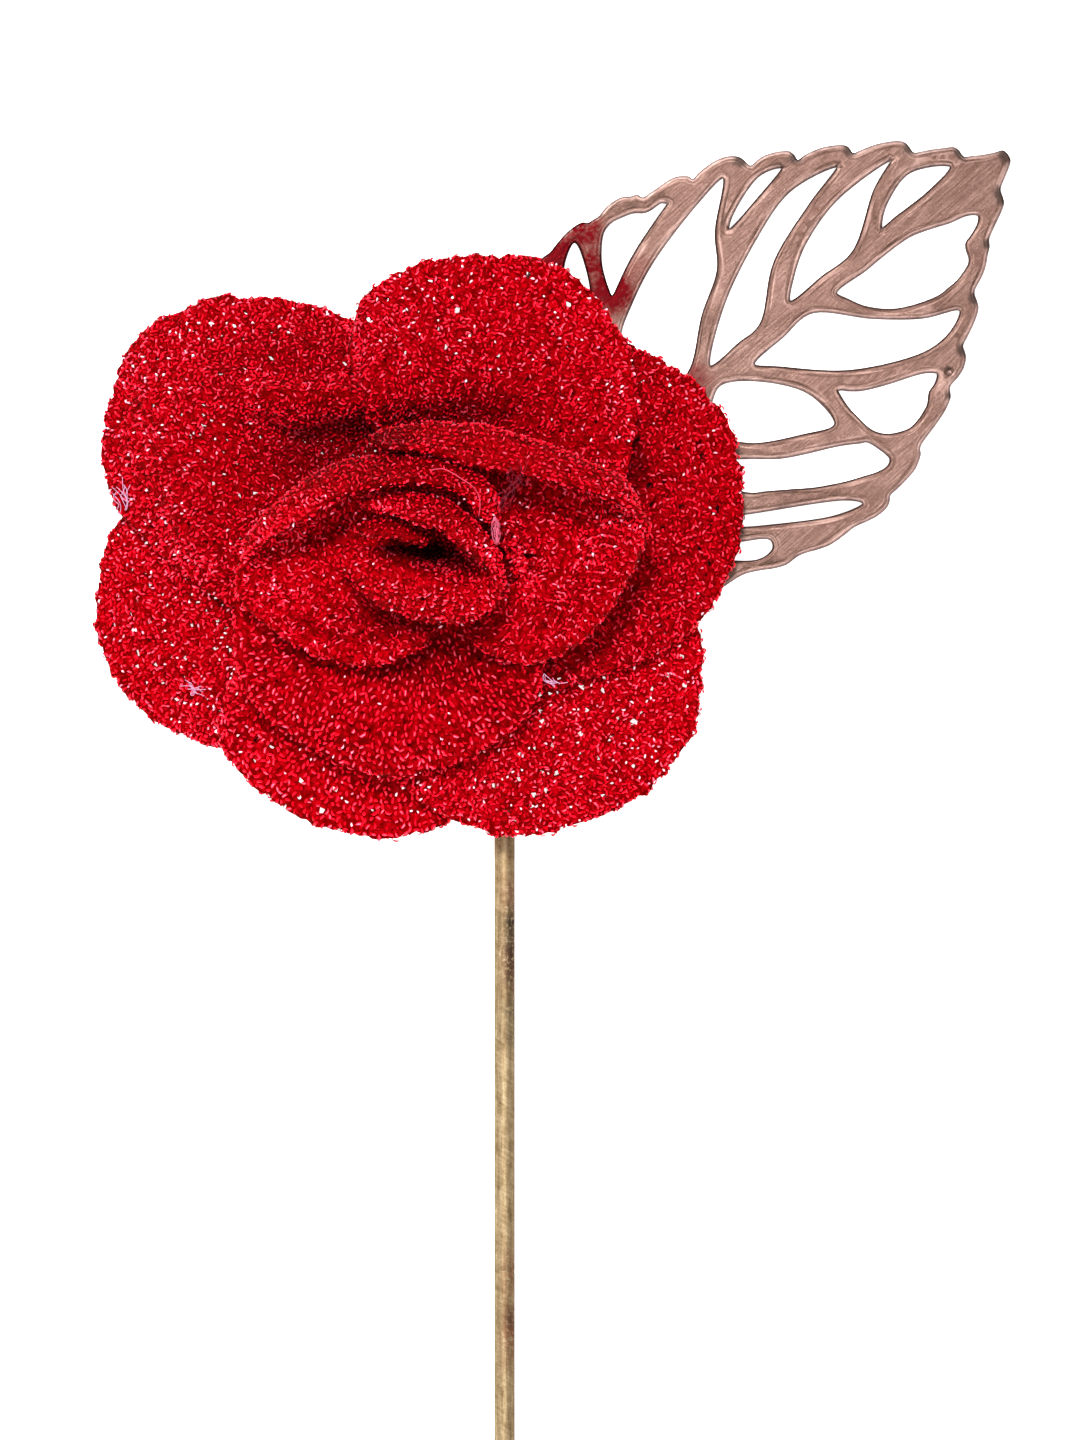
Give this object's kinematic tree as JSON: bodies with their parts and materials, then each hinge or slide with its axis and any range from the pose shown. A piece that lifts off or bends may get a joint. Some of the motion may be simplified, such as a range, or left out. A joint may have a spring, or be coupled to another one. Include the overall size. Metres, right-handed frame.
{
  "type": "flower brooch",
  "caption": "Lapel flower brooch: a cloth rose of layered petals with a pierced metal leaf, on a straight stick pin.",
  "frame": {"origin": "middle of the whole outline, on the plane that the brooch lies on with its front up", "axes": "+X to the right of the front view, +Y up it towards the leaf's tip and away from the pin's point, +Z out of the front towards the viewer"},
  "size_m": [0.0566, 0.0932, 0.0154],
  "materials": {
    "petal_cloth": "matte crepe knit",
    "leaf_metal": "antique copper, brushed",
    "pin_metal": "aged, drawn wire"
  },
  "bodies": {
    "root": {"outer_petal_left_low": "petal_cloth", "outer_petal_low": "petal_cloth", "outer_petal_right_low": "petal_cloth", "outer_petal_right": "petal_cloth", "outer_petal_left_top": "petal_cloth", "outer_petal_top": "petal_cloth", "middle_petal": "petal_cloth", "right_cup": "petal_cloth", "left_cup": "petal_cloth", "heart_cup": "petal_cloth", "heart_bud": "petal_cloth", "leaf": "leaf_metal", "stick_pin": "pin_metal"}
  },
  "joints": []
}
